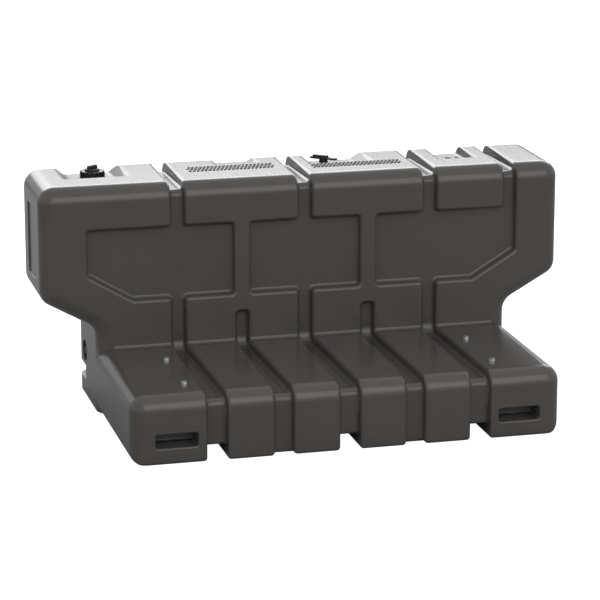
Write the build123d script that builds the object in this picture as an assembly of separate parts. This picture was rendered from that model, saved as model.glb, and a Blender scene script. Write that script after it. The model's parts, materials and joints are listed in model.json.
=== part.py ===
from build123d import *
from math import sqrt
import os

# Water filled barrier section, millimetres.
# X runs along the barrier, Y from the foot's front (-) to the rear face (+), Z up.
# The origin is at the middle of the footprint, on the ground.

# ---- tank: overall form
LENGTH = 2000.0              # over the shoulders of the wall
DEPTH = 1060.0               # foot front to rear face
HEIGHT = 866.0               # ground to top face
WALL_DEPTH = 420.0           # front to rear face of the wall
FOOT_LENGTH = 1590.0         # foot and lower wall
FOOT_HEIGHT = 250.0
SHOULDER_OUTER_Z = 441.0     # shoulder underside, at the end face
SHOULDER_INNER_Z = 326.0     # shoulder underside, at the lower wall
SKIN = 7.0                   # moulded wall thickness
EDGE_R = 60.0                # long rounded edges
CORNER_R = 62.0              # upright corners and outline corners
FOOT_BOTTOM_R = 40.0         # lower long edges of the foot's ends
COVE_R = 14.0                # between wall front and foot top

# ---- tank: ribs between grooves
GROOVE_PITCH = 486.0         # full grooves at -pitch, 0 and +pitch
GROOVE_DEPTH = 34.0
GROOVE_WIDTH = 52.0          # on the wall
GROOVE_WIDTH_FRONT = 74.0    # at the foot's front
SLOT_WIDTH = 48.0            # short grooves half way between the full ones
SLOT_TOP_Z = 363.0
END_GROOVE_WIDTH = 48.0      # upper groove above the right end of the panels

# ---- tank: recessed panels in the wall front
PANEL_X = 826.0              # outer ends
PANEL_TOP_Z = 703.0
PANEL_BOTTOM_Z = 431.0
PANEL_CUT_Z = 532.0          # lower outer corners are cut from here
PANEL_CUT_X = 656.0          # to here
POST_WIDTH = 62.0            # raised posts at half pitch
PANEL_CORNER_R = 14.0

# ---- tank: underside tunnels, rear channel, hand holds, top pockets, end keyways
TUNNEL_HEIGHT = 49.0
TUNNEL_WIDTH = 73.0
CHANNEL_LIP_Z = 60.0
CHANNEL_HEIGHT = 57.0
CHANNEL_DEPTH = 150.0
TUNNEL_CORNER_R = 8.0        # upper corners of the tunnels, inner corners of the channel
HAND_HOLD_X = 633.0
HAND_HOLD_Z = 86.0
HAND_HOLD_WIDTH = 154.0
HAND_HOLD_HEIGHT = 50.0
HAND_HOLD_DEPTH = 92.0
HAND_HOLD_R = 9.0
POCKET_DEPTH = 35.0          # fill, vent and lifting pockets
NOTCH_DEPTH = 20.0
# left rim, right rim, set-back from wall front, run of the right wall per unit of depth
FILL_POCKET = (-877.0, -636.0, 183.0, 1.0)
NOTCH_POCKET = (-275.0, -114.0, 300.0, 1.0)
VENT_POCKET = (76.0, 316.0, 220.0, 1.0)
LIFT_POCKET = (575.0, 714.0, 183.0, 0.0)
KEYWAY_WIDTH = 150.0
KEYWAY_DEPTH = 5.0
KEYWAY_BOTTOM_Z = 500.0
KEYWAY_TOP_Z = 770.0

# ---- fits and eased edges shared by the fittings
RUN_CLEAR = 0.05             # radial, turning fits
SEAT_CLEAR = 0.25            # radial, pieces dropped through a hole
EASE = 1.0                   # chamfer on rims
SOFT_R = 2.5                 # rounding on pieces gripped by hand
NUT_ROUND = 0.96             # lock nut corners turned to this share of the corner radius

# ---- filler: spout, lock nut, gasket, cap and seal (heights above the pocket floor)
FILL_X = -752.0
FILL_SET_BACK = 290.0        # from wall front
FILL_BORE_R = 25.0
FILL_NECK_R = 38.0
FILL_TUBE_R = 33.5
FILL_FLANGE_R = 52.0
FILL_FLANGE_T = 6.0
FILL_GASKET_T = 3.0
FILL_NECK_TOP = 29.0
FILL_NUT_R = 50.0
FILL_NUT_T = 12.0
FILL_THREAD_LENGTH = 22.0    # tube below the skin, through the lock nut
CAP_R = 47.0
CAP_SKIRT_GAP = 2.0          # skirt above flange
CAP_SEAL_T = 3.0
CAP_ROOF_T = 5.0
CAP_TEETH = 18
CAP_TOOTH_WIDTH = 9.0
CAP_TOOTH_DEPTH = 5.0
CAP_TOOTH_FOOT = 4.0         # plain band below the teeth
CAP_HUB_R = 28.0
CAP_HUB_T = 8.0
CAP_GRIP_WIDTH = 17.0
CAP_GRIP_HEIGHT = 13.0
CAP_GRIP_R = 5.0
CAP_GRIP_MARGIN = 4.0        # hub rim to grip end
CAP_GRIP_HOLE_R = 3.5
CAP_GRIP_ANGLE = 35.0
CAP_SEAL_MARGIN = 1.0        # seal inside the neck's edges

# ---- vent: threaded bush, lock nut, gasket, T-bar plug and ring
VENT_X = 158.0
VENT_SET_BACK = 340.0
VENT_PLUG_R = 12.0
VENT_TUBE_R = 16.5
VENT_FLANGE_R = 27.0
VENT_FLANGE_T = 5.0
VENT_GASKET_T = 2.0
VENT_NUT_R = 26.0
VENT_NUT_T = 10.0
VENT_THREAD_LENGTH = 17.0
VENT_RING_T = 2.5
VENT_RING_WIDTH = 4.0
VENT_PLUG_REACH = 10.0       # shank below the pocket floor
VENT_COLLAR_R = 17.0
VENT_COLLAR_T = 13.5
BAR_LENGTH = 114.0
BAR_WIDTH = 24.0
BAR_HEIGHT = 7.0
BAR_BLOCK_LENGTH = 62.0
BAR_BLOCK_WIDTH = 19.0
BAR_BLOCK_HEIGHT = 8.0
BAR_BLOCK_SHIFT = 12.0       # block sits towards the left wing
BAR_BLOCK_R = 4.0
BAR_ANGLE = -38.0            # right wing turned towards the front

# ---- drain in the left end: recess, insert, plug and seal
DRAIN_SET_BACK = 285.0
DRAIN_Z = 172.0
DRAIN_RECESS_R = 42.0
DRAIN_RECESS_DEPTH = 18.0
DRAIN_INSERT_R = 21.0
DRAIN_PLUG_R = 15.0
DRAIN_INSERT_LENGTH = 30.0
DRAIN_COLLAR_R = 29.0
DRAIN_COLLAR_T = 4.0
DRAIN_SEAL_T = 2.5
DRAIN_SEAL_LAP = 2.0         # seal over the recess floor
DRAIN_PLUG_REACH = 23.0
DRAIN_HEAD_R = 25.0
DRAIN_HEAD_T = 4.0
DRAIN_HEX = 30.0             # across flats
DRAIN_HEX_T = 8.5
DRAIN_HEAD_R_EDGE = 1.5

# ---- foot bolts and moulded-in inserts
BOLT_X = 574.0
BOLT_SET_OUTS = (183.0, 491.0)     # in front of the wall front
BOLT_R = 6.0
BOLT_LENGTH = 25.0
BOLT_HEX = 19.0
BOLT_HEAD_T = 7.5
BOLT_HEAD_FLARE = 0.68       # radius of the turning cone at the head's base, as a share of the flats
WASHER_R = 12.0
WASHER_T = 2.5
INSERT_R = 10.0
INSERT_LENGTH = 30.0
INSERT_BASE_T = 3.0
INSERT_COLLAR_R = 16.0
INSERT_COLLAR_T = 4.0

FRONT = -DEPTH / 2
REAR = DEPTH / 2
WALL_FRONT = REAR - WALL_DEPTH
HALF_LENGTH = LENGTH / 2
HALF_FOOT = FOOT_LENGTH / 2
PAST = 200.0                 # how far cutting bodies run past the tank
POCKET_FLOOR_Z = HEIGHT - POCKET_DEPTH
FULL_GROOVES = (-GROOVE_PITCH, 0.0, GROOVE_PITCH)
SHORT_GROOVES = (-GROOVE_PITCH / 2, GROOVE_PITCH / 2)
BOLT_PLACES = [(side * BOLT_X, WALL_FRONT - out) for side in (-1, 1) for out in BOLT_SET_OUTS]
FILL_PLACE = Pos(FILL_X, WALL_FRONT + FILL_SET_BACK, POCKET_FLOOR_Z)
VENT_PLACE = Pos(VENT_X, WALL_FRONT + VENT_SET_BACK, POCKET_FLOOR_Z)
DRAIN_PLACE = Location(Plane(
    origin=(-HALF_FOOT + DRAIN_RECESS_DEPTH, WALL_FRONT + DRAIN_SET_BACK, DRAIN_Z), z_dir=(-1, 0, 0)))


def prism_along_y(sketch, y_front, y_back):
    """Extrudes a sketch drawn in (x, z) between two Y planes."""
    return extrude(Plane.XZ.offset(-y_back) * sketch, y_back - y_front)


def prism_along_x(sketch, x_low, x_high):
    """Extrudes a sketch drawn in (y, z) between two X planes."""
    return extrude(Plane.YZ.offset(x_low) * sketch, x_high - x_low)


def prism_along_z(sketch, z_low, z_high):
    """Extrudes a sketch drawn in (x, y) between two Z planes."""
    return extrude(Pos(0, 0, z_low) * sketch, z_high - z_low)


def polygon(*points):
    return make_face(Polyline(*points, close=True))


def rectangle(x_low, y_low, x_high, y_high):
    return Pos((x_low + x_high) / 2, (y_low + y_high) / 2) * Rectangle(x_high - x_low, y_high - y_low)


def disc(radius, z_low, z_high):
    return Pos(0, 0, z_low) * extrude(Circle(radius), z_high - z_low)


def ring(inner, outer, z_low, z_high):
    return Pos(0, 0, z_low) * extrude(Circle(outer) - Circle(inner), z_high - z_low)


def hexagon(across_flats, z_low, z_high):
    return Pos(0, 0, z_low) * extrude(RegularPolygon(across_flats / sqrt(3), 6), z_high - z_low)


# ---------------------------------------------------------------- tank

def wall_block(inset):
    """The wall with its shoulders, every face moved in by the inset."""
    outline = polygon(
        (-HALF_FOOT, 0), (-HALF_FOOT, SHOULDER_INNER_Z), (-HALF_LENGTH, SHOULDER_OUTER_Z),
        (-HALF_LENGTH, HEIGHT), (HALF_LENGTH, HEIGHT), (HALF_LENGTH, SHOULDER_OUTER_Z),
        (HALF_FOOT, SHOULDER_INNER_Z), (HALF_FOOT, 0))
    outline = fillet([v for v in outline.vertices() if v.Y > 1], CORNER_R)
    if inset:
        outline = offset(outline, amount=-inset, kind=Kind.INTERSECTION)
    block = prism_along_y(outline, WALL_FRONT + inset, REAR - inset)
    for face_y in (WALL_FRONT + inset, REAR - inset):
        rim = [e for e in block.edges()
               if abs(e.center().Y - face_y) < 0.001 and e.center().Z > inset + 1]
        block = fillet(rim, EDGE_R - inset)
    return block


def foot_block(inset):
    """The foot, which runs on under the wall to the rear face."""
    height = FOOT_HEIGHT - 2 * inset
    block = Pos(0, 0, inset + height / 2) * Box(FOOT_LENGTH - 2 * inset, DEPTH - 2 * inset, height)
    block = fillet(block.edges().filter_by(Axis.Z), CORNER_R - inset)
    top = [e for e in block.edges() if abs(e.center().Z - inset - height) < 0.001]
    block = fillet(top, EDGE_R - inset)
    end_view = rectangle(-HALF_FOOT + inset, inset, HALF_FOOT - inset, HEIGHT)
    lower_corners = [v for v in end_view.vertices() if v.Y < inset + 1]
    end_view = fillet(lower_corners, FOOT_BOTTOM_R - inset)
    return block & prism_along_y(end_view, FRONT - PAST, REAR + PAST)


def cove(inset):
    """The fillet strip between the wall front and the foot top."""
    y, z, r = WALL_FRONT + inset, FOOT_HEIGHT - inset, COVE_R + inset
    corner = rectangle(y - r, z - 1, y + 1, z + r) - Pos(y - r, z + r) * Circle(r)
    reach = HALF_FOOT - EDGE_R
    return prism_along_x(corner, -reach, reach)


def groove_core(inset):
    """What stays inside the grooves: the section, moved in by the groove depth."""
    section = polygon((FRONT, -PAST), (FRONT, FOOT_HEIGHT), (WALL_FRONT, FOOT_HEIGHT),
                      (WALL_FRONT, HEIGHT), (REAR, HEIGHT), (REAR, -PAST))
    step = Vector(WALL_FRONT, FOOT_HEIGHT)
    outer = [v for v in section.vertices() if v.Y > 0 and (Vector(v) - step).length > 1]
    section = fillet(outer, EDGE_R)
    inner = [v for v in section.vertices() if (Vector(v) - step).length < 0.001]
    section = fillet(inner, COVE_R)
    section = offset(section, amount=-(GROOVE_DEPTH + inset), kind=Kind.INTERSECTION)
    return prism_along_x(section, -HALF_LENGTH - PAST, HALF_LENGTH + PAST)


def panel_outline(x_low, x_high):
    """One recessed panel between posts; at the ends its lower outer corner is cut off."""
    face = rectangle(x_low, PANEL_BOTTOM_Z, x_high, PANEL_TOP_Z)
    for side, edge in ((-1, x_low), (1, x_high)):
        if abs(edge - side * PANEL_X) < 0.001:
            corner = polygon((side * PANEL_X, PANEL_CUT_Z), (side * PANEL_CUT_X, PANEL_BOTTOM_Z),
                             (side * PANEL_X, PANEL_BOTTOM_Z))
            face = face - corner
    return face


def front_plan():
    """All that is sunk into the wall front, in (x, z)."""
    half_post = POST_WIDTH / 2
    posts = SHORT_GROOVES
    edges = (-PANEL_X, posts[0] - half_post, posts[0] + half_post,
             posts[1] - half_post, posts[1] + half_post, PANEL_X)
    plan = panel_outline(edges[0], edges[1])
    plan += panel_outline(edges[2], edges[3])
    plan += panel_outline(edges[4], edges[5])
    for x in FULL_GROOVES:
        plan += rectangle(x - GROOVE_WIDTH / 2, -PAST, x + GROOVE_WIDTH / 2, HEIGHT + PAST)
    plan += rectangle(PANEL_X - END_GROOVE_WIDTH, PANEL_TOP_Z, PANEL_X, HEIGHT + PAST)
    for x in SHORT_GROOVES:
        plan += rectangle(x - SLOT_WIDTH / 2, -PAST, x + SLOT_WIDTH / 2, SLOT_TOP_Z)
    return plan


def rounded(plan, radius):
    """Rounds every corner of a plan, hollow and proud alike."""
    plan = offset(offset(plan, amount=-radius), amount=radius)
    return offset(offset(plan, amount=radius), amount=-radius)


def grown(plan, inset):
    return offset(plan, amount=inset) if inset else plan


def sunk_front(inset):
    """Panels and grooves in the wall front."""
    plan = grown(rounded(front_plan(), PANEL_CORNER_R), inset)
    return prism_along_y(plan, WALL_FRONT - 1, WALL_FRONT + WALL_DEPTH / 2)


def sunk_rear(inset):
    """The same grooves over the top and down the rear face."""
    half = GROOVE_WIDTH / 2 + inset
    plan = rectangle(PANEL_X - END_GROOVE_WIDTH - inset, PANEL_TOP_Z - inset,
                     PANEL_X + inset, HEIGHT + PAST)
    for x in FULL_GROOVES:
        plan += rectangle(x - half, -PAST, x + half, HEIGHT + PAST)
    return prism_along_y(plan, WALL_FRONT + WALL_DEPTH / 2, REAR + PAST)


def sunk_foot(inset):
    """Grooves over the foot, wider towards its front."""
    spread = (GROOVE_WIDTH_FRONT - GROOVE_WIDTH) / 2 / (DEPTH - WALL_DEPTH)
    cutter = Part()
    widths = {x: GROOVE_WIDTH for x in FULL_GROOVES} | {x: SLOT_WIDTH for x in SHORT_GROOVES}
    for x, width in widths.items():
        rear_half = width / 2 + inset
        front_half = rear_half + spread * (DEPTH - WALL_DEPTH + PAST)
        plan = polygon((x - rear_half, WALL_FRONT), (x + rear_half, WALL_FRONT),
                       (x + front_half, FRONT - PAST), (x - front_half, FRONT - PAST))
        cutter += prism_along_z(plan, -PAST, FOOT_HEIGHT + PAST)
    return cutter


def tunnels(inset):
    """Drainage tunnels on the ground, front to rear under the full grooves."""
    cutter = Part()
    for x in FULL_GROOVES:
        half = TUNNEL_WIDTH / 2 + inset
        opening = rectangle(x - half, -PAST, x + half, TUNNEL_HEIGHT + inset)
        opening = fillet([v for v in opening.vertices() if v.Y > 0], TUNNEL_CORNER_R + inset)
        cutter += prism_along_y(opening, FRONT - PAST, REAR + PAST)
    return cutter


def rear_channel(inset):
    """The channel along the foot of the rear face, open at both ends."""
    section = rectangle(REAR - CHANNEL_DEPTH - inset, CHANNEL_LIP_Z - inset,
                        REAR + PAST, CHANNEL_LIP_Z + CHANNEL_HEIGHT + inset)
    section = fillet([v for v in section.vertices() if v.X < REAR], TUNNEL_CORNER_R + inset)
    return prism_along_x(section, -HALF_LENGTH - PAST, HALF_LENGTH + PAST)


def hand_holds(inset):
    """The hand holds in the front of the outer lobes."""
    cutter = Part()
    for x in (-HAND_HOLD_X, HAND_HOLD_X):
        opening = RectangleRounded(HAND_HOLD_WIDTH, HAND_HOLD_HEIGHT, HAND_HOLD_R)
        opening = grown(Pos(x, HAND_HOLD_Z) * opening, inset)
        cutter += prism_along_y(opening, FRONT - PAST, FRONT + HAND_HOLD_DEPTH + inset)
    return cutter


def top_pocket(rims, depth, inset):
    """A pocket in the top face, open at the rear, with its left and front walls at 45 degrees."""
    left, right, set_back, lean = rims
    spread = inset * sqrt(2)
    floor_z = HEIGHT - depth - inset
    left_floor = left - spread + depth + inset
    right_floor = right + inset * sqrt(1 + lean ** 2) - lean * (depth + inset)
    front_floor = WALL_FRONT + set_back - spread + depth + inset
    end_view = polygon((left_floor, floor_z), (right_floor, floor_z),
                       (right_floor + lean * PAST, floor_z + PAST), (left_floor - PAST, floor_z + PAST))
    side_view = polygon((front_floor, floor_z), (REAR + PAST, floor_z),
                        (REAR + PAST, floor_z + PAST), (front_floor - PAST, floor_z + PAST))
    across = prism_along_x(side_view, -HALF_LENGTH, HALF_LENGTH)
    return prism_along_y(end_view, WALL_FRONT, REAR + PAST) & across


def keyways(inset):
    """Shallow upright recesses in the end faces, where neighbouring sections locate."""
    middle_y = WALL_FRONT + WALL_DEPTH / 2
    plan = rectangle(middle_y - KEYWAY_WIDTH / 2, KEYWAY_BOTTOM_Z, middle_y + KEYWAY_WIDTH / 2, KEYWAY_TOP_Z)
    plan = grown(fillet(plan.vertices(), PANEL_CORNER_R), inset)
    depth = KEYWAY_DEPTH + inset
    return (prism_along_x(plan, -HALF_LENGTH - 1, -HALF_LENGTH + depth)
            + prism_along_x(plan, HALF_LENGTH - depth, HALF_LENGTH + 1))


def drain_recess(inset):
    place = Plane(origin=(-HALF_FOOT - 1, WALL_FRONT + DRAIN_SET_BACK, DRAIN_Z), z_dir=(1, 0, 0))
    return extrude(place * Circle(DRAIN_RECESS_R + inset), DRAIN_RECESS_DEPTH + inset + 1)


def tank_form(inset):
    """The tank's outer form, or its cavity when every face is moved in by the skin."""
    form = wall_block(inset) + foot_block(inset) + cove(inset)
    core = groove_core(inset)
    form -= sunk_front(inset) - core
    form -= sunk_rear(inset) - core
    form -= sunk_foot(inset) - core
    form -= tunnels(inset)
    form -= rear_channel(inset)
    form -= hand_holds(inset)
    for rims, depth in ((FILL_POCKET, POCKET_DEPTH), (NOTCH_POCKET, NOTCH_DEPTH),
                        (VENT_POCKET, POCKET_DEPTH), (LIFT_POCKET, POCKET_DEPTH)):
        form -= top_pocket(rims, depth, inset)
    form -= keyways(inset)
    form -= drain_recess(inset)
    return form


def tank_shell():
    """The moulded skin, with the openings for its fittings."""
    shell = tank_form(0) - tank_form(SKIN)
    through = 2 * SKIN
    for x, set_back, radius in ((FILL_X, FILL_SET_BACK, FILL_TUBE_R), (VENT_X, VENT_SET_BACK, VENT_TUBE_R)):
        hole = disc(radius + SEAT_CLEAR, -through, through)
        shell -= Pos(x, WALL_FRONT + set_back, POCKET_FLOOR_Z) * hole
    for x, y in BOLT_PLACES:
        shell -= Pos(x, y, FOOT_HEIGHT) * disc(INSERT_R, -through, through)
    shell -= DRAIN_PLACE * disc(DRAIN_INSERT_R, -through, through)
    return shell


# ---------------------------------------------------------------- filler, local z = 0 on the pocket floor

def fill_spout():
    """Flanged spout that drops through the tank top."""
    flange_top = FILL_GASKET_T + FILL_FLANGE_T
    body = disc(FILL_TUBE_R, -SKIN - FILL_THREAD_LENGTH, FILL_GASKET_T)
    body += disc(FILL_FLANGE_R, FILL_GASKET_T, flange_top)
    body += disc(FILL_NECK_R, flange_top, FILL_NECK_TOP)
    rim = body.edges().filter_by(GeomType.CIRCLE).group_by(Axis.Z)[-1]
    body = chamfer(rim, EASE)
    return body - disc(FILL_BORE_R, -2 * HEIGHT, 2 * HEIGHT)


def fill_gasket():
    return ring(FILL_TUBE_R + SEAT_CLEAR, FILL_FLANGE_R, 0, FILL_GASKET_T)


def lock_nut(bore, outer, thickness):
    """A six sided nut against the underside of the skin, with its corners turned down."""
    nut = hexagon(outer * sqrt(3), -SKIN - thickness, -SKIN)
    nut = nut & disc(outer * NUT_ROUND, -SKIN - thickness, -SKIN)
    return nut - disc(bore, -HEIGHT, HEIGHT)


def fill_cap():
    """Screw cap with a toothed skirt, a hub and an upright grip pierced for a lanyard."""
    low = FILL_GASKET_T + FILL_FLANGE_T + CAP_SKIRT_GAP
    roof = FILL_NECK_TOP + CAP_SEAL_T
    top = roof + CAP_ROOF_T
    cap = disc(CAP_R, low, top)
    cap = fillet(cap.edges().filter_by(GeomType.CIRCLE).group_by(Axis.Z)[-1], SOFT_R)
    half_gap = CAP_TOOTH_WIDTH / 2
    gap = rectangle(CAP_R - CAP_TOOTH_DEPTH, -half_gap, CAP_R + CAP_TOOTH_DEPTH, half_gap)
    gap = extrude(Pos(0, 0, low + CAP_TOOTH_FOOT) * gap, HEIGHT)
    for step in range(CAP_TEETH):
        cap -= Rot(0, 0, step * 360 / CAP_TEETH) * gap
    hub_top = top + CAP_HUB_T
    cap += disc(CAP_HUB_R, top, hub_top)
    hub_rim = [e for e in cap.edges().filter_by(GeomType.CIRCLE) if abs(e.center().Z - hub_top) < 0.01]
    cap = fillet(hub_rim, SOFT_R)
    grip = extrude(SlotOverall(2 * (CAP_HUB_R - CAP_GRIP_MARGIN), CAP_GRIP_WIDTH), CAP_GRIP_HEIGHT)
    grip = fillet(grip.edges().group_by(Axis.Z)[-1], CAP_GRIP_R)
    eye = Rot(90, 0, 0) * Cylinder(CAP_GRIP_HOLE_R, 2 * CAP_GRIP_WIDTH)
    grip -= Pos(CAP_HUB_R / 2, 0, CAP_GRIP_HEIGHT / 2) * eye
    cap += Pos(0, 0, hub_top) * Rot(0, 0, CAP_GRIP_ANGLE) * grip
    return cap - disc(FILL_NECK_R + RUN_CLEAR, 0, roof)


def fill_cap_seal():
    """Flat ring held in the cap's roof."""
    inner, outer = FILL_BORE_R + CAP_SEAL_MARGIN, FILL_NECK_R - CAP_SEAL_MARGIN
    return ring(inner, outer, FILL_NECK_TOP, FILL_NECK_TOP + CAP_SEAL_T)


# ---------------------------------------------------------------- vent, local z = 0 on the pocket floor

def vent_bush():
    flange_top = VENT_GASKET_T + VENT_FLANGE_T
    body = disc(VENT_TUBE_R, -SKIN - VENT_THREAD_LENGTH, VENT_GASKET_T)
    body += disc(VENT_FLANGE_R, VENT_GASKET_T, flange_top)
    body = chamfer(body.edges().filter_by(GeomType.CIRCLE).group_by(Axis.Z)[-1], EASE)
    return body - disc(VENT_PLUG_R + RUN_CLEAR, -2 * HEIGHT, 2 * HEIGHT)


def vent_gasket():
    return ring(VENT_TUBE_R + SEAT_CLEAR, VENT_FLANGE_R, 0, VENT_GASKET_T)


def vent_plug_ring():
    seat = VENT_GASKET_T + VENT_FLANGE_T
    return ring(VENT_PLUG_R + RUN_CLEAR, VENT_PLUG_R + VENT_RING_WIDTH, seat, seat + VENT_RING_T)


def vent_plug():
    """Plug with a T-bar: a flat bar with a thicker block on its left part."""
    seat = VENT_GASKET_T + VENT_FLANGE_T + VENT_RING_T
    collar_top = seat + VENT_COLLAR_T
    bar_top = collar_top + BAR_HEIGHT
    plug = disc(VENT_PLUG_R, -VENT_PLUG_REACH, seat)
    plug += disc(VENT_COLLAR_R, seat, collar_top)
    bar = Pos(0, 0, collar_top) * extrude(SlotOverall(BAR_LENGTH, BAR_WIDTH), BAR_HEIGHT)
    bar = fillet(bar.edges().group_by(Axis.Z)[-1], SOFT_R)
    block = extrude(RectangleRounded(BAR_BLOCK_LENGTH, BAR_BLOCK_WIDTH, BAR_BLOCK_R), BAR_BLOCK_HEIGHT)
    block = fillet(block.edges().group_by(Axis.Z)[-1], SOFT_R)
    bar += Pos(-BAR_BLOCK_SHIFT, 0, bar_top) * block
    return plug + Rot(0, 0, BAR_ANGLE) * bar


# ---------------------------------------------------------------- drain, local z = 0 at its recess

def drain_insert():
    """Moulded-in threaded bush with a collar behind the skin."""
    body = disc(DRAIN_INSERT_R, -DRAIN_INSERT_LENGTH, 0)
    body += disc(DRAIN_COLLAR_R, -SKIN - DRAIN_COLLAR_T, -SKIN)
    return body - disc(DRAIN_PLUG_R + RUN_CLEAR, -HEIGHT, HEIGHT)


def drain_seal():
    return ring(DRAIN_PLUG_R + RUN_CLEAR, DRAIN_INSERT_R + DRAIN_SEAL_LAP, 0, DRAIN_SEAL_T)


def drain_plug():
    head_top = DRAIN_SEAL_T + DRAIN_HEAD_T
    plug = disc(DRAIN_PLUG_R, -DRAIN_PLUG_REACH, DRAIN_SEAL_T)
    plug += disc(DRAIN_HEAD_R, DRAIN_SEAL_T, head_top)
    plug = fillet(plug.edges().filter_by(GeomType.CIRCLE).group_by(Axis.Z)[-1], DRAIN_HEAD_R_EDGE)
    hexagonal = hexagon(DRAIN_HEX, head_top, head_top + DRAIN_HEX_T)
    return plug + chamfer(hexagonal.edges().group_by(Axis.Z)[-1], EASE)


# ---------------------------------------------------------------- foot bolts, local z = 0 on the foot top

def base_bolt():
    head = hexagon(BOLT_HEX, WASHER_T, WASHER_T + BOLT_HEAD_T)
    cone = Cone(BOLT_HEX * BOLT_HEAD_FLARE, BOLT_HEX / 2, 1.5 * BOLT_HEAD_T,
                align=(Align.CENTER, Align.CENTER, Align.MIN))
    head = head & Pos(0, 0, WASHER_T) * cone
    return head + disc(BOLT_R, -BOLT_LENGTH, WASHER_T)


def base_washer():
    return ring(BOLT_R + SEAT_CLEAR, WASHER_R, 0, WASHER_T)


def base_insert():
    """Blind threaded insert moulded into the foot, with a collar behind the skin."""
    body = disc(INSERT_R, -INSERT_LENGTH, 0)
    body += disc(INSERT_COLLAR_R, -SKIN - INSERT_COLLAR_T, -SKIN)
    return body - disc(BOLT_R, -INSERT_LENGTH + INSERT_BASE_T, HEIGHT)


def on_side(shape, side):
    """Copies of a fastener at the bolt places on one side."""
    return [Pos(x, y, FOOT_HEIGHT) * shape for x, y in BOLT_PLACES if x * side > 0]


def write(name, shape):
    solids = shape if isinstance(shape, list) else [shape]
    bodies = [s for item in solids for s in item.solids()]
    whole = bodies[0] if len(bodies) == 1 else Compound(children=bodies)
    whole.label = name
    export_step(whole, os.path.join("parts", name + ".step"))


def build():
    os.makedirs("parts", exist_ok=True)
    write("tank_shell", tank_shell())
    write("fill_spout", FILL_PLACE * fill_spout())
    write("fill_gasket", FILL_PLACE * fill_gasket())
    write("fill_lock_nut", FILL_PLACE * lock_nut(FILL_TUBE_R, FILL_NUT_R, FILL_NUT_T))
    write("fill_cap", FILL_PLACE * fill_cap())
    write("fill_cap_seal", FILL_PLACE * fill_cap_seal())
    write("vent_bush", VENT_PLACE * vent_bush())
    write("vent_gasket", VENT_PLACE * vent_gasket())
    write("vent_lock_nut", VENT_PLACE * lock_nut(VENT_TUBE_R, VENT_NUT_R, VENT_NUT_T))
    write("vent_plug", VENT_PLACE * vent_plug())
    write("vent_plug_ring", VENT_PLACE * vent_plug_ring())
    write("drain_insert", DRAIN_PLACE * drain_insert())
    write("drain_seal", DRAIN_PLACE * drain_seal())
    write("drain_plug", DRAIN_PLACE * drain_plug())
    for side, word in ((-1, "left"), (1, "right")):
        write("base_bolts_" + word, on_side(base_bolt(), side))
        write("base_washers_" + word, on_side(base_washer(), side))
        write("base_inserts_" + word, on_side(base_insert(), side))


build()
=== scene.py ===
"""Looks of a water ballasted barrier section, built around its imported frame.

The tank's rims are softened as a rotational moulding has them, the fittings get eased edges, raised tread
pads stand on the top face, and every surface has a finish of its own made from procedural nodes.
"""

import json
import logging
import math
from dataclasses import dataclass, field
from enum import Enum

import bpy
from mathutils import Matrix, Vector

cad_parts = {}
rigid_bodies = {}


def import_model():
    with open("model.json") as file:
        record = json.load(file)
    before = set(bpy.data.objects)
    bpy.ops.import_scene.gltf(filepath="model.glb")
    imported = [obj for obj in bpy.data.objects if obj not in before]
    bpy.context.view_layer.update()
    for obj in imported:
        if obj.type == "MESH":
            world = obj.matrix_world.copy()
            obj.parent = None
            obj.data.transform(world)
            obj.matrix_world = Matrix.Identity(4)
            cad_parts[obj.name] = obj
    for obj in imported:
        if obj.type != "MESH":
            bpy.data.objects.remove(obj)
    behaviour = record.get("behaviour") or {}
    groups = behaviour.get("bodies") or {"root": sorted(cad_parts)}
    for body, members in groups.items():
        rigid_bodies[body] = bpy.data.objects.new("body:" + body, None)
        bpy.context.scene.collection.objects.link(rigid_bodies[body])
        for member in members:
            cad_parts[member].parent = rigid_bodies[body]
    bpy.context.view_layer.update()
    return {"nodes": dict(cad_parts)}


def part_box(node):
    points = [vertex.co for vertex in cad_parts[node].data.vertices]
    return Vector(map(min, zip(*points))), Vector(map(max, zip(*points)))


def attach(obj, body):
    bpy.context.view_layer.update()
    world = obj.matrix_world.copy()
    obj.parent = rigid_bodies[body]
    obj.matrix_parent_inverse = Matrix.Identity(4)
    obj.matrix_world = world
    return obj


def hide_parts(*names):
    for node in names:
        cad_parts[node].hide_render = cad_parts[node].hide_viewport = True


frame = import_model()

LOG = logging.getLogger("barrier")
MM = 0.001
TANK_BODY = "tank"


class Slot(Enum):
    """Material slots that the record names."""

    TANK = "charcoal_polyethylene"
    FITTING = "black_fitting"
    RUBBER = "black_rubber"
    BRASS = "brass_insert"
    STEEL = "bright_steel"


# ---------------------------------------------------------------- mesh helpers

def select_only(piece: bpy.types.Object) -> None:
    """Makes one object the only selected one, and the active one.

    Args:
        piece: the object that the next operators work on.
    """
    bpy.ops.object.select_all(action="DESELECT")
    piece.select_set(True)
    bpy.context.view_layer.objects.active = piece


def edit(select: str = "EDGE") -> None:
    """Enters edit mode on the active object.

    Args:
        select: the kind of element that is selected, VERT, EDGE or FACE.
    """
    bpy.context.tool_settings.mesh_select_mode = tuple(select == kind for kind in ("VERT", "EDGE", "FACE"))
    bpy.ops.object.mode_set(mode="EDIT")


def leave_edit() -> None:
    """Goes back to object mode."""
    bpy.ops.object.mode_set(mode="OBJECT")


def apply_modifier(piece: bpy.types.Object, kind: str, **settings: object) -> None:
    """Adds one modifier with the given settings and applies it.

    Args:
        piece: the object to change.
        kind: Blender's name for the modifier type.
        **settings: the modifier's own properties.
    """
    select_only(piece)
    modifier = piece.modifiers.new(kind.title(), kind)
    for name, value in settings.items():
        setattr(modifier, name, value)
    bpy.ops.object.modifier_apply(modifier=modifier.name)


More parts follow.
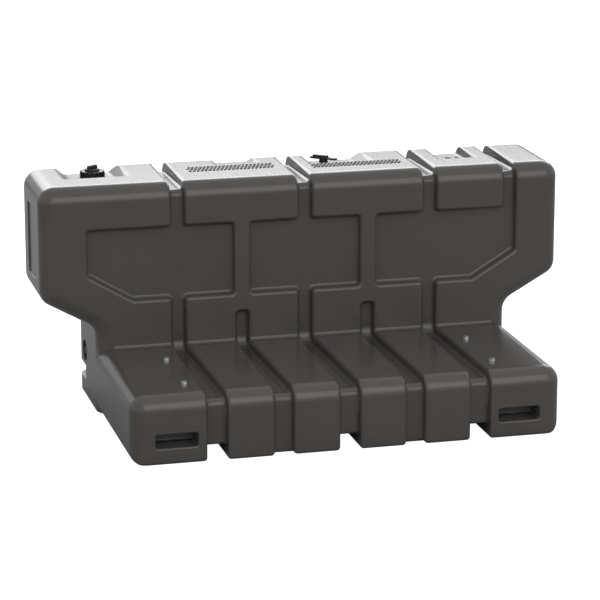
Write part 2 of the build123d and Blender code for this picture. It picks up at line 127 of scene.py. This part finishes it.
def apply_place(piece: bpy.types.Object) -> None:
    """Moves an object's place, turn and scale into its mesh.

    Args:
        piece: the object to settle at the origin.
    """
    select_only(piece)
    bpy.ops.object.transform_apply(location=True, rotation=True, scale=True)


def copy_of_node(node: str, name: str, crease: float) -> bpy.types.Object:
    """Copies a frame node's mesh and cleans the copy.

    Args:
        node: the frame node to copy.
        name: the new piece's name.
        crease: faces that meet at less than this many degrees are made one.

    Returns:
        An object whose mesh is joined up, with its flat faces whole.
    """
    piece = bpy.data.objects.new(name, frame["nodes"][node].data.copy())
    piece.data.name = name
    piece.data.materials.clear()
    bpy.context.scene.collection.objects.link(piece)
    select_only(piece)
    edit()
    bpy.ops.mesh.select_all(action="SELECT")
    bpy.ops.mesh.customdata_custom_splitnormals_clear()
    bpy.ops.mesh.remove_doubles(threshold=0.01 * MM)
    bpy.ops.mesh.dissolve_limited(angle_limit=math.radians(crease), delimit={"NORMAL"})
    leave_edit()
    return piece


def shade_by_area(piece: bpy.types.Object, angle: float) -> None:
    """Smooths the shading, with large flat faces kept flat.

    Args:
        piece: the object to shade.
        angle: edges sharper than this stay sharp, in degrees.
    """
    select_only(piece)
    bpy.ops.object.shade_smooth_by_angle(angle=math.radians(angle))
    apply_modifier(piece, "WEIGHTED_NORMAL", mode="FACE_AREA", weight=80, keep_sharp=True)


def dress(piece: bpy.types.Object, material: bpy.types.Material, body: str) -> None:
    """Gives a finished piece its material and the body it moves with.

    Args:
        piece: the finished object.
        material: what it is made of.
        body: the frame body it rides on.
    """
    piece.data.materials.clear()
    piece.data.materials.append(material)
    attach(piece, body)
    LOG.info("piece %s: %d faces on body %s", piece.name, len(piece.data.polygons), body)


# ---------------------------------------------------------------- shader helpers

Tree = bpy.types.NodeTree
Socket = bpy.types.NodeSocket


def add_node(tree: Tree, kind: str, **settings: object) -> bpy.types.Node:
    """Adds a shader node.

    Args:
        tree: the tree that gets the node.
        kind: the node's type without the ShaderNode prefix.
        **settings: the node's own properties.

    Returns:
        The new node.
    """
    node = tree.nodes.new("ShaderNode" + kind)
    for name, value in settings.items():
        setattr(node, name, value)
    return node


def join(tree: Tree, source: Socket, target: Socket) -> None:
    """Links two sockets."""
    tree.links.new(source, target)


def noise(tree: Tree, place: Socket, scale: float, detail: float, rough: float = 0.5) -> Socket:
    """Adds a noise pattern.

    Args:
        tree: the tree that gets the node.
        place: where the pattern is read.
        scale: waves to the metre.
        detail: octaves.
        rough: strength of the finer octaves.

    Returns:
        The pattern's value.
    """
    node = add_node(tree, "TexNoise")
    node.inputs["Scale"].default_value = scale
    node.inputs["Detail"].default_value = detail
    node.inputs["Roughness"].default_value = rough
    join(tree, place, node.inputs["Vector"])
    return node.outputs["Fac"]


def remap(tree: Tree, value: Socket, low: float, high: float, out_low: float, out_high: float) -> Socket:
    """Stretches a value from one range to another, and holds it there.

    Args:
        tree: the tree that gets the node.
        value: the value to stretch.
        low: the value that becomes out_low.
        high: the value that becomes out_high.
        out_low: the new low end.
        out_high: the new high end.

    Returns:
        The stretched value.
    """
    node = add_node(tree, "MapRange", clamp=True)
    for name, number in (("From Min", low), ("From Max", high), ("To Min", out_low), ("To Max", out_high)):
        node.inputs[name].default_value = number
    join(tree, value, node.inputs["Value"])
    return node.outputs["Result"]


def math_node(tree: Tree, operation: str, first: Socket, second: Socket | float) -> Socket:
    """Adds an arithmetic node.

    Args:
        tree: the tree that gets the node.
        operation: Blender's name for the operation.
        first: the first value.
        second: the second value, a socket or a number.

    Returns:
        The result.
    """
    node = add_node(tree, "Math", operation=operation)
    join(tree, first, node.inputs[0])
    if isinstance(second, float):
        node.inputs[1].default_value = second
    else:
        join(tree, second, node.inputs[1])
    return node.outputs[0]


def blend_colours(tree: Tree, factor: Socket, first: Socket | tuple, second: Socket | tuple) -> Socket:
    """Mixes two colours.

    Args:
        tree: the tree that gets the node.
        factor: 0 gives the first colour and 1 the second.
        first: a socket or a colour.
        second: a socket or a colour.

    Returns:
        The mixed colour.
    """
    node = add_node(tree, "Mix", data_type="RGBA")
    join(tree, factor, node.inputs["Factor"])
    for socket, colour in ((node.inputs[6], first), (node.inputs[7], second)):
        if isinstance(colour, tuple):
            socket.default_value = (*colour, 1.0)
        else:
            join(tree, colour, socket)
    return node.outputs[2]


def new_group(name: str, inputs: dict[str, tuple[str, float]],
              outputs: dict[str, str]) -> tuple[Tree, dict, dict]:
    """Makes an empty shader node group with named sockets.

    Args:
        name: the group's name.
        inputs: socket name to (kind, default).
        outputs: socket name to kind.

    Returns:
        The group, its inner input sockets by name, and its inner output sockets by name.
    """
    group = bpy.data.node_groups.new(name, "ShaderNodeTree")
    for title, (kind, default) in inputs.items():
        socket = group.interface.new_socket(title, in_out="INPUT", socket_type="NodeSocket" + kind)
        if kind == "Float":
            socket.default_value = default
    for title, kind in outputs.items():
        group.interface.new_socket(title, in_out="OUTPUT", socket_type="NodeSocket" + kind)
    entry = group.nodes.new("NodeGroupInput")
    leave = group.nodes.new("NodeGroupOutput")
    return group, {s.name: s for s in entry.outputs if s.name}, {s.name: s for s in leave.inputs if s.name}


def place_group(tree: Tree, group: Tree, **values: object) -> bpy.types.Node:
    """Places a node group in a material.

    Args:
        tree: the material's tree.
        group: the group to place.
        **values: a number or a socket for each named input, with _ for a space.

    Returns:
        The group node.
    """
    node = add_node(tree, "Group", node_tree=group)
    for name, value in values.items():
        socket = node.inputs[name.replace("_", " ")]
        if isinstance(value, (int, float)):
            socket.default_value = value
        else:
            join(tree, value, socket)
    return node


@dataclass(frozen=True)
class MouldGrain:
    """The skin of a moulding: fine grain on slow waves, and a slow mottle."""

    name: str = "mould_grain"

    def build(self) -> Tree:
        """Builds the group once.

        Returns:
            A group with Height and Mottle outputs.
        """
        group, given, out = new_group(
            self.name,
            {"Place": ("Vector", 0.0), "Grain Scale": ("Float", 900.0), "Wave Scale": ("Float", 14.0),
             "Wave Share": ("Float", 0.5)},
            {"Height": "Float", "Mottle": "Float"})
        grain = add_node(group, "TexNoise")
        wave = add_node(group, "TexNoise")
        mottle = add_node(group, "TexNoise")
        for node, scale, detail in ((grain, "Grain Scale", 3.0), (wave, "Wave Scale", 2.0)):
            join(group, given["Place"], node.inputs["Vector"])
            join(group, given[scale], node.inputs["Scale"])
            node.inputs["Detail"].default_value = detail
        join(group, given["Place"], mottle.inputs["Vector"])
        mottle.inputs["Scale"].default_value = 5.0
        mottle.inputs["Detail"].default_value = 6.0
        mottle.inputs["Roughness"].default_value = 0.62
        waves = math_node(group, "MULTIPLY", wave.outputs["Fac"], given["Wave Share"])
        join(group, math_node(group, "ADD", grain.outputs["Fac"], waves), out["Height"])
        join(group, mottle.outputs["Fac"], out["Mottle"])
        return group


@dataclass(frozen=True)
class HandlingMarks:
    """Faint scuffs: thin stretched streaks broken up by a coarser pattern."""

    name: str = "handling_marks"

    def build(self) -> Tree:
        """Builds the group once.

        Returns:
            A group whose Mask is 1 in a scuff.
        """
        group, given, out = new_group(
            self.name,
            {"Place": ("Vector", 0.0), "Streak Scale": ("Float", 30.0), "Cover": ("Float", 0.5)},
            {"Mask": "Float"})
        stretch = add_node(group, "Mapping")
        stretch.inputs["Rotation"].default_value = (0.4, 0.3, 0.6)
        stretch.inputs["Scale"].default_value = (1.0, 9.0, 4.0)
        join(group, given["Place"], stretch.inputs["Vector"])
        streak = add_node(group, "TexNoise")
        streak.inputs["Detail"].default_value = 4.0
        join(group, stretch.outputs["Vector"], streak.inputs["Vector"])
        join(group, given["Streak Scale"], streak.inputs["Scale"])
        thin = remap(group, streak.outputs["Fac"], 0.66, 0.74, 0.0, 1.0)
        patch = noise(group, given["Place"], 3.5, 3.0)
        where = remap(group, patch, 0.5, 0.66, 0.0, 1.0)
        kept = math_node(group, "MULTIPLY", thin, where)
        join(group, math_node(group, "MULTIPLY", kept, given["Cover"]), out["Mask"])
        return group


class Finish:
    """A material under construction, with its shader, its place socket and its output wired."""

    def __init__(self, name: str) -> None:
        """Starts an empty material.

        Args:
            name: the material's name.
        """
        self.material = bpy.data.materials.new(name)
        self.material.use_nodes = True
        self.tree = self.material.node_tree
        self.tree.nodes.clear()
        self.shader = add_node(self.tree, "BsdfPrincipled")
        output = add_node(self.tree, "OutputMaterial")
        join(self.tree, self.shader.outputs["BSDF"], output.inputs["Surface"])
        self.place = add_node(self.tree, "TexCoord").outputs["Object"]

    def set(self, **values: float) -> None:
        """Sets plain numbers on the shader, with _ for a space in a socket's name."""
        for name, value in values.items():
            self.shader.inputs[name.replace("_", " ")].default_value = value

    def link(self, socket: Socket, name: str) -> None:
        """Joins a value to one of the shader's sockets."""
        join(self.tree, socket, self.shader.inputs[name])

    def bump(self, height: Socket, distance: float, strength: float = 1.0) -> None:
        """Turns a height into the shader's normal.

        Args:
            height: the height pattern.
            distance: its depth in metres.
            strength: how much of it shows.
        """
        node = add_node(self.tree, "Bump")
        node.inputs["Strength"].default_value = strength
        node.inputs["Distance"].default_value = distance
        join(self.tree, height, node.inputs["Height"])
        self.link(node.outputs["Normal"], "Normal")


@dataclass(frozen=True)
class MouldedPlastic:
    """Polyethylene or nylon straight from the mould.

    The grain scale is in waves to the metre, and depths are in metres.
    """

    name: str
    colour: tuple[float, float, float]
    pale: tuple[float, float, float]
    rough_low: float
    rough_high: float
    grain_scale: float
    grain_depth: float
    scuffs: float
    scuff_rough: float = 0.2
    level: float = 0.5

    def build(self, grain: Tree, marks: Tree) -> bpy.types.Material:
        """Makes the material.

        Args:
            grain: the mould grain group.
            marks: the handling marks group.

        Returns:
            The finished material.
        """
        finish = Finish(self.name)
        tree = finish.tree
        skin = place_group(tree, grain, Place=finish.place, Grain_Scale=self.grain_scale)
        scuff = place_group(tree, marks, Place=finish.place, Cover=self.scuffs)
        tone = remap(tree, skin.outputs["Mottle"], 0.1, 0.9, 0.0, 0.6)
        body = blend_colours(tree, tone, self.colour, self.pale)
        finish.link(blend_colours(tree, scuff.outputs["Mask"], body, self.pale), "Base Color")
        rough = remap(tree, skin.outputs["Mottle"], 0.1, 0.9, self.rough_low, self.rough_high)
        dulled = math_node(tree, "MULTIPLY", scuff.outputs["Mask"], self.scuff_rough)
        finish.link(math_node(tree, "ADD", rough, dulled), "Roughness")
        finish.bump(skin.outputs["Height"], self.grain_depth)
        finish.set(Specular_IOR_Level=self.level)
        return finish.material


@dataclass(frozen=True)
class Rubber:
    """Matt sealing rubber with a fine bloom."""

    name: str = "sealing_rubber"
    colour: tuple[float, float, float] = (0.016, 0.016, 0.017)
    bloom: tuple[float, float, float] = (0.045, 0.045, 0.046)

    def build(self, grain: Tree) -> bpy.types.Material:
        """Makes the material.

        Args:
            grain: the mould grain group.

        Returns:
            The finished material.
        """
        finish = Finish(self.name)
        skin = place_group(finish.tree, grain, Place=finish.place, Grain_Scale=2600.0)
        tone = remap(finish.tree, skin.outputs["Mottle"], 0.45, 0.7, 0.0, 0.6)
        finish.link(blend_colours(finish.tree, tone, self.colour, self.bloom), "Base Color")
        finish.link(remap(finish.tree, skin.outputs["Mottle"], 0.3, 0.7, 0.62, 0.8), "Roughness")
        finish.bump(skin.outputs["Height"], 0.04 * MM)
        return finish.material


@dataclass(frozen=True)
class TurnedMetal:
    """Turned or plated metal with a fine even bump grain and small dulled patches."""

    name: str
    colour: tuple[float, float, float]
    dulled: tuple[float, float, float]
    rough_low: float
    rough_high: float

    def build(self, marks: Tree) -> bpy.types.Material:
        """Makes the material.

        Args:
            marks: the handling marks group.

        Returns:
            The finished material.
        """
        finish = Finish(self.name)
        tree = finish.tree
        patch = noise(tree, finish.place, 160.0, 4.0, 0.6)
        lines = noise(tree, finish.place, 3200.0, 2.0)
        scuff = place_group(tree, marks, Place=finish.place, Streak_Scale=400.0, Cover=0.6)
        tone = remap(tree, patch, 0.4, 0.7, 0.0, 0.7)
        body = blend_colours(tree, tone, self.colour, self.dulled)
        finish.link(blend_colours(tree, scuff.outputs["Mask"], body, self.dulled), "Base Color")
        finish.link(remap(tree, patch, 0.3, 0.7, self.rough_low, self.rough_high), "Roughness")
        finish.bump(lines, 0.02 * MM)
        finish.set(Metallic=1.0)
        return finish.material


# ---------------------------------------------------------------- the tank

@dataclass(frozen=True)
class Rim:
    """How far the rims in one region are rounded. Lengths are in metres.

    The region is a box that is the same on both halves of the barrier, so X is measured from its middle.
    """

    low: tuple[float, float, float]
    high: tuple[float, float, float]
    radius: float

    def holds(self, point: Vector) -> bool:
        """Says whether a point is in the region."""
        place = (abs(point.x), point.y, point.z)
        return all(low <= value <= high for low, value, high in zip(self.low, place, self.high))


@dataclass
class TankSkin:
    """The moulded tank: the frame's tank with soft rims along every groove, recess and pocket.

    Lengths are in metres. The first region that holds an edge gives its radius, and rim_radius serves the
    rest. Each hole is its centre, its axis and its radius.
    """

    node: str = "tank_shell"
    rim_radius: float = 13 * MM
    rim_segments: int = 4
    sharp_angle: float = 25.0
    smooth_angle: float = 40.0
    crease: float = 1.5
    hole_reach: float = 20 * MM
    regions: tuple[Rim, ...] = (
        Rim((0.74, 0.345, 0.12), (0.80, 0.445, 0.225), 2.5 * MM),
        Rim((0.99, 0.20, 0.45), (1.01, 0.45, 0.80), 2.4 * MM),
        Rim((0.72, 0.08, 0.0), (1.01, 0.54, 0.45), 0.0),
        Rim((0.0, 0.36, 0.0), (1.01, 0.54, 0.20), 3 * MM),
        Rim((0.55, -0.54, 0.055), (0.715, -0.40, 0.117), 7 * MM),
        Rim((0.0, 0.47, 0.80), (1.01, 0.54, 0.90), 0.0),
    )
    holes: list[tuple[Vector, Vector, float]] = field(default_factory=list)

    def find_holes(self) -> None:
        """Works out where fittings pass through the skin, from their own boxes."""
        up, along = Vector((0, 0, 1)), Vector((1, 0, 0))
        for gasket in ("fill_gasket", "vent_gasket"):
            low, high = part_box(gasket)
            centre = (low + high) / 2
            self.holes.append((Vector((centre.x, centre.y, low.z)), up, (high.x - low.x) / 2))
        low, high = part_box("drain_seal")
        centre = (low + high) / 2
        self.holes.append((Vector((high.x, centre.y, centre.z)), along, (high.y - low.y) / 2))
        for side in ("left", "right"):
            low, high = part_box("base_washers_" + side)
            radius = (high.x - low.x) / 2
            for y in (low.y + radius, high.y - radius):
                self.holes.append((Vector(((low.x + high.x) / 2, y, low.z)), up, radius))

    def in_hole(self, point: Vector) -> bool:
        """Says whether a point lies on or in one of the fittings' holes."""
        for centre, axis, radius in self.holes:
            offset = point - centre
            height = offset.dot(axis)
            if abs(height) < self.hole_reach and (offset - axis * height).length < radius:
                return True
        return False

    def hide_inside(self, mesh: bpy.types.Mesh) -> None:
        """Hides the walls of the holes and the cavity, so that only the outside stays in edit mode.

        Args:
            mesh: the tank's mesh, in object mode.
        """
        for face in mesh.polygons:
            face.select = all(self.in_hole(mesh.vertices[v].co) for v in face.vertices)
        edit("FACE")
        bpy.ops.mesh.hide(unselected=False)
        leave_edit()
        first = min(mesh.polygons, key=lambda face: face.center.x)
        first.select = True
        edit("FACE")
        bpy.ops.mesh.select_linked()
        bpy.ops.mesh.hide(unselected=True)
        leave_edit()

    def weigh_rims(self, mesh: bpy.types.Mesh) -> None:
        """Gives each sharp outside edge its share of the largest radius, by the region it is in.

        Args:
            mesh: the tank's mesh, with its inside hidden.
        """
        edit("EDGE")
        bpy.ops.mesh.select_all(action="DESELECT")
        bpy.ops.mesh.edges_select_sharp(sharpness=math.radians(self.sharp_angle))
        leave_edit()
        weights = mesh.attributes.new("bevel_weight_edge", "FLOAT", "EDGE")
        for edge in mesh.edges:
            ends = [mesh.vertices[v].co for v in edge.vertices]
            if not edge.select or any(self.in_hole(end) for end in ends):
                continue
            middle = (ends[0] + ends[1]) / 2
            radius = next((region.radius for region in self.regions if region.holds(middle)), self.rim_radius)
            weights.data[edge.index].value = radius / self.rim_radius

    def build(self, material: bpy.types.Material) -> bpy.types.Object:
        """Makes the tank's visible skin and lets it stand for the frame's tank.

        Args:
            material: the tank's plastic.

        Returns:
            The finished piece.
        """
        self.find_holes()
        skin = copy_of_node(self.node, "tank_skin", self.crease)
        self.hide_inside(skin.data)
        self.weigh_rims(skin.data)
        edit("EDGE")
        bpy.ops.mesh.reveal(select=False)
        leave_edit()
        apply_modifier(skin, "BEVEL", width=self.rim_radius, segments=self.rim_segments,
                       limit_method="WEIGHT", use_clamp_overlap=False)
        shade_by_area(skin, self.smooth_angle)
        dress(skin, material, TANK_BODY)
        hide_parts(self.node)
        return skin


@dataclass
class TreadPad:
    """Raised lozenges moulded on the top face in staggered rows. Lengths are in metres."""

    name: str
    x_low: float
    x_high: float
    y_low: float
    y_high: float
    rows: int = 4
    pitch: float = 15 * MM
    length: float = 10 * MM
    width: float = 8 * MM
    height: float = 3 * MM
    sink: float = 1.5 * MM
    ease: float = 1.2 * MM
    smooth_angle: float = 30.0

    def lozenge(self, x: float, y: float, z: float) -> bpy.types.Object:
        """Models one lozenge, set into the surface.

        Args:
            x: its middle along the barrier.
            y: its middle across.
            z: the height of the surface.

        Returns:
            The lozenge.
        """
        bpy.ops.object.select_all(action="DESELECT")
        tall = self.height + self.sink
        bpy.ops.mesh.primitive_cube_add(size=1.0, location=(x, y, z - self.sink + tall / 2),
                                        scale=(self.length, self.width, tall))
        piece = bpy.context.object
        apply_place(piece)
        edit("EDGE")
        bpy.ops.mesh.select_all(action="SELECT")
        bpy.ops.mesh.bevel(offset=self.ease, segments=1, affect="EDGES")
        leave_edit()
        return piece

    def build(self, material: bpy.types.Material, top: float) -> bpy.types.Object:
        """Makes the pad: one lozenge, copied along its rows and joined.

        Args:
            material: the tank's plastic.
            top: the height of the tank's top face.

        Returns:
            The pad.
        """
        first = self.lozenge(self.x_low + self.length / 2, self.y_low + self.width / 2, top)
        count = int((self.x_high - self.x_low - self.pitch / 2 - self.length) / self.pitch) + 1
        row_pitch = (self.y_high - self.y_low - self.width) / (self.rows - 1)
        parts = [first]
        for row in range(self.rows):
            for step in range(count):
                if row == 0 and step == 0:
                    continue
                copy = first.copy()
                copy.data = first.data.copy()
                copy.location = (step * self.pitch + (row % 2) * self.pitch / 2, row * row_pitch, 0)
                bpy.context.scene.collection.objects.link(copy)
                parts.append(copy)
        bpy.ops.object.select_all(action="DESELECT")
        for part in parts:
            part.select_set(True)
        bpy.context.view_layer.objects.active = first
        bpy.ops.object.join()
        first.name = self.name
        apply_place(first)
        select_only(first)
        bpy.ops.object.shade_smooth_by_angle(angle=math.radians(self.smooth_angle))
        dress(first, material, TANK_BODY)
        return first


@dataclass
class LocatingPips:
    """Two low round pips on the floor of the right hand pocket. Lengths are in metres."""

    places: tuple[tuple[float, float], ...] = ((0.661, 0.457), (0.692, 0.445))
    radii: tuple[float, ...] = (11 * MM, 6 * MM)
    height: float = 3 * MM
    sink: float = 1.5 * MM
    rim_share: float = 0.45
    dish: float = 1.5 * MM
    ease: float = 0.8 * MM
    sharp_angle: float = 35.0
    smooth_angle: float = 40.0

    def build(self, material: bpy.types.Material, floor: float) -> None:
        """Makes the pips.

        Args:
            material: the tank's plastic.
            floor: the height of the pocket's floor.
        """
        for number, ((x, y), radius) in enumerate(zip(self.places, self.radii)):
            bpy.ops.object.select_all(action="DESELECT")
            tall = self.height + self.sink
            bpy.ops.mesh.primitive_cylinder_add(vertices=32, radius=radius, depth=tall,
                                                location=(x, y, floor - self.sink + tall / 2))
            pip = bpy.context.object
            pip.name = f"top_pip_{number + 1}"
            apply_place(pip)
            for face in pip.data.polygons:
                face.select = face.normal.z > 0.9
            edit("FACE")
            bpy.ops.mesh.inset(thickness=radius * self.rim_share, depth=0.0)
            bpy.ops.transform.translate(value=(0, 0, -self.dish))
            bpy.ops.mesh.select_all(action="DESELECT")
            bpy.ops.mesh.edges_select_sharp(sharpness=math.radians(self.sharp_angle))
            bpy.ops.mesh.bevel(offset=self.ease, segments=2, affect="EDGES")
            leave_edit()
            select_only(pip)
            bpy.ops.object.shade_smooth_by_angle(angle=math.radians(self.smooth_angle))
            dress(pip, material, TANK_BODY)


# ---------------------------------------------------------------- fittings

@dataclass(frozen=True)
class Fitting:
    """A turned or moulded fitting that the frame holds, with its edges eased."""

    node: str
    body: str
    slot: Slot
    ease: float
    angle: float = 35.0
    crease: float = 0.5

    def build(self, material: bpy.types.Material) -> bpy.types.Object:
        """Makes the fitting's visible piece, which stands for its frame node.

        Args:
            material: what it is made of.

        Returns:
            The finished piece.
        """
        piece = copy_of_node(self.node, self.node + "_finished", self.crease)
        edit("EDGE")
        bpy.ops.mesh.select_all(action="DESELECT")
        bpy.ops.mesh.edges_select_sharp(sharpness=math.radians(self.angle))
        bpy.ops.mesh.bevel(offset=self.ease, segments=2, profile=0.5, affect="EDGES", clamp_overlap=True)
        leave_edit()
        shade_by_area(piece, self.angle)
        dress(piece, material, self.body)
        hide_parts(self.node)
        return piece


FITTINGS = (
    Fitting("fill_spout", TANK_BODY, Slot.FITTING, 0.6 * MM),
    Fitting("fill_cap", "fill_cap", Slot.FITTING, 0.7 * MM),
    Fitting("vent_bush", TANK_BODY, Slot.FITTING, 0.5 * MM),
    Fitting("vent_plug", "vent_plug", Slot.FITTING, 0.6 * MM),
    Fitting("drain_plug", "drain_plug", Slot.FITTING, 0.5 * MM),
    Fitting("base_bolts_left", TANK_BODY, Slot.STEEL, 0.4 * MM),
    Fitting("base_bolts_right", TANK_BODY, Slot.STEEL, 0.4 * MM),
    Fitting("base_washers_left", TANK_BODY, Slot.STEEL, 0.3 * MM),
    Fitting("base_washers_right", TANK_BODY, Slot.STEEL, 0.3 * MM),
    Fitting("fill_gasket", TANK_BODY, Slot.RUBBER, 0.4 * MM),
    Fitting("vent_gasket", TANK_BODY, Slot.RUBBER, 0.3 * MM),
)
KEPT_NODES = {
    "fill_lock_nut": Slot.FITTING,
    "vent_lock_nut": Slot.FITTING,
    "fill_cap_seal": Slot.RUBBER,
    "vent_plug_ring": Slot.RUBBER,
    "drain_seal": Slot.RUBBER,
    "drain_insert": Slot.BRASS,
    "base_inserts_left": Slot.BRASS,
    "base_inserts_right": Slot.BRASS,
}


# ---------------------------------------------------------------- studio

@dataclass(frozen=True)
class SoftLight:
    """A large studio light that is seen in reflections only."""

    name: str
    place: tuple[float, float, float]
    aim: tuple[float, float, float]
    size: tuple[float, float]
    power: float

    def build(self) -> None:
        """Hangs the light and turns it to its aim."""
        data = bpy.data.lights.new(self.name, "AREA")
        data.shape = "RECTANGLE"
        data.size, data.size_y = self.size
        data.energy = self.power
        light = bpy.data.objects.new(self.name, data)
        bpy.context.scene.collection.objects.link(light)
        light.location = self.place
        light.rotation_mode = "QUATERNION"
        light.rotation_quaternion = (Vector(self.aim) - Vector(self.place)).to_track_quat("-Z", "Y")
        light.visible_camera = False


@dataclass(frozen=True)
class Studio:
    """Pale floor, soft lights and the camera. Lengths are in metres, and angles in degrees."""

    floor_size: float = 80.0
    sky: float = 0.75
    azimuth: float = -14.51
    elevation: float = 14.96
    distance: float = 10.144
    target: tuple[float, float, float] = (-0.0229, 0.110, 0.3922)
    lens: float = 162.06
    lights: tuple[SoftLight, ...] = (
        SoftLight("back_light", (1.7, 7.0, 4.15), (0.2, 0.0, 0.9), (10.0, 3.2), 385.0),
        SoftLight("front_light", (0.6, -7.2, 4.6), (0.0, -0.1, 0.4), (9.0, 5.0), 190.0),
    )

    def floor(self) -> None:
        """Lays the pale floor, a little brighter to the eye than to the object."""
        bpy.ops.object.select_all(action="DESELECT")
        bpy.ops.mesh.primitive_plane_add(size=self.floor_size)
        floor = bpy.context.object
        floor.name = "studio_floor"
        finish = Finish("pale_floor")
        patch = noise(finish.tree, finish.place, 0.8, 3.0)
        finish.link(blend_colours(finish.tree, patch, (0.33, 0.33, 0.33), (0.36, 0.36, 0.36)), "Base Color")
        finish.set(Roughness=0.9, Specular_IOR_Level=0.1)
        seen = add_node(finish.tree, "LightPath").outputs["Is Camera Ray"]
        finish.link(math_node(finish.tree, "MULTIPLY", seen, 1.0), "Emission Strength")
        finish.shader.inputs["Emission Color"].default_value = (1.0, 1.0, 1.0, 1.0)
        floor.data.materials.append(finish.material)

    def sky_light(self) -> None:
        """Surrounds the studio with an even soft light."""
        world = bpy.data.worlds.new("studio_sky")
        world.use_nodes = True
        background = world.node_tree.nodes["Background"]
        background.inputs["Color"].default_value = (1.0, 1.0, 1.0, 1.0)
        background.inputs["Strength"].default_value = self.sky
        bpy.context.scene.world = world
        bpy.context.scene.view_settings.view_transform = "Standard"

    def camera(self) -> None:
        """Sets up the camera on its line of sight."""
        azimuth, elevation = math.radians(self.azimuth), math.radians(self.elevation)
        back = Vector((math.sin(azimuth) * math.cos(elevation), -math.cos(azimuth) * math.cos(elevation),
                       math.sin(elevation)))
        data = bpy.data.cameras.new("studio_camera")
        data.sensor_width = 36.0
        data.lens = self.lens
        camera = bpy.data.objects.new("studio_camera", data)
        bpy.context.scene.collection.objects.link(camera)
        camera.location = Vector(self.target) + back * self.distance
        camera.rotation_mode = "QUATERNION"
        camera.rotation_quaternion = (-back).to_track_quat("-Z", "Y")
        bpy.context.scene.camera = camera

    def build(self) -> None:
        """Builds the whole studio."""
        self.camera()
        self.floor()
        self.sky_light()
        for light in self.lights:
            light.build()


# ---------------------------------------------------------------- all together

def finishes() -> dict[Slot, bpy.types.Material]:
    """Makes every material of the object.

    Returns:
        A material for each slot.
    """
    grain, marks = MouldGrain().build(), HandlingMarks().build()
    tank = MouldedPlastic("tank_plastic", (0.062, 0.0585, 0.0545), (0.084, 0.079, 0.074), 0.19, 0.25,
                          420.0, 0.10 * MM, 0.0)
    fitting = MouldedPlastic("fitting_plastic", (0.010, 0.010, 0.010), (0.03, 0.03, 0.03), 0.3, 0.42,
                             1500.0, 0.05 * MM, 0.5)
    brass = TurnedMetal("turned_brass", (0.62, 0.44, 0.18), (0.34, 0.24, 0.12), 0.25, 0.42)
    steel = TurnedMetal("bright_zinc", (0.72, 0.72, 0.71), (0.5, 0.5, 0.5), 0.22, 0.38)
    return {
        Slot.TANK: tank.build(grain, marks),
        Slot.FITTING: fitting.build(grain, marks),
        Slot.RUBBER: Rubber().build(grain),
        Slot.BRASS: brass.build(marks),
        Slot.STEEL: steel.build(marks),
    }


def main() -> None:
    """Builds the studio and every piece of the object, in order."""
    logging.basicConfig(level=logging.INFO)
    Studio().build()
    materials = finishes()
    TankSkin().build(materials[Slot.TANK])
    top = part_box("tank_shell")[1].z
    TreadPad("tread_pad_left", -0.403, -0.057, 0.298, 0.368).build(materials[Slot.TANK], top)
    TreadPad("tread_pad_right", 0.068, 0.423, 0.258, 0.314).build(materials[Slot.TANK], top)
    LocatingPips().build(materials[Slot.TANK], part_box("fill_gasket")[0].z)
    for fitting in FITTINGS:
        fitting.build(materials[fitting.slot])
    for node, slot in KEPT_NODES.items():
        frame["nodes"][node].data.materials.clear()
        frame["nodes"][node].data.materials.append(materials[slot])


if __name__ == "__main__":
    main()
